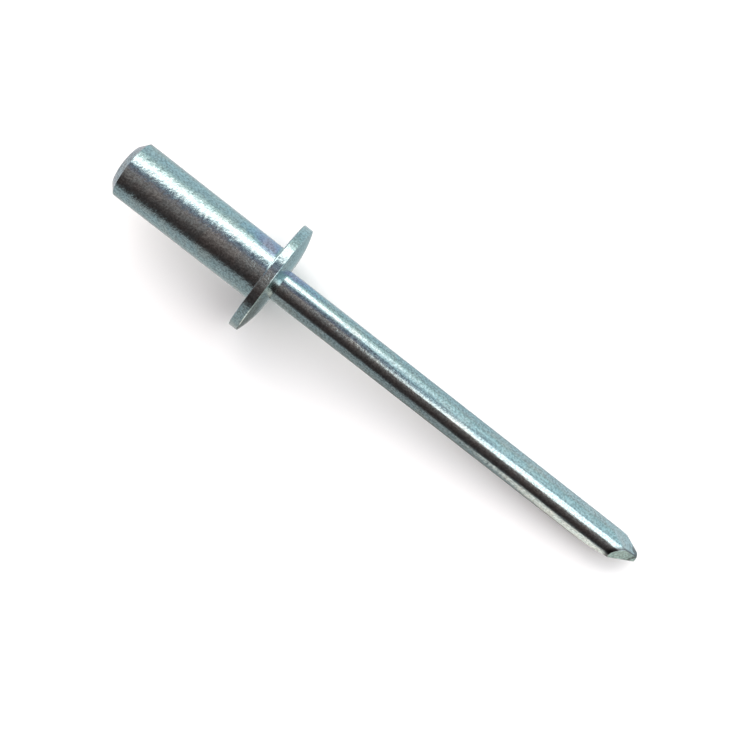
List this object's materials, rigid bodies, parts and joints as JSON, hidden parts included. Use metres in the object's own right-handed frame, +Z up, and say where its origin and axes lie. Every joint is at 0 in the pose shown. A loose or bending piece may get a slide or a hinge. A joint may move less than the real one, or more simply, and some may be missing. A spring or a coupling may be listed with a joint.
{
  "type": "closed-end blind rivet with mandrel",
  "caption": "Closed-end blind rivet in bright zinc-plated steel: blind shank, domed flange head and a long plain pull mandrel with a pinched point, lying at rest.",
  "frame": {"origin": "centre of the plan outline, on the surface that the rivet lies on", "axes": "+X towards the mandrel's point, +Z up from the surface; the rivet's axis lies in the XZ plane and dips towards +X, because it lies on the head's edge and the point"},
  "size_m": [0.042, 0.008, 0.008],
  "materials": {
    "shell_zinc": "bright blue-white zinc plating on cold-formed steel, with fine draw marks and a faint blue-violet tint near the head",
    "mandrel_zinc": "bright zinc plating on drawn steel wire, a little duller and more speckled than the shell"
  },
  "bodies": {
    "root": {"rivet_body": "shell_zinc", "mandrel": "mandrel_zinc"}
  },
  "joints": []
}
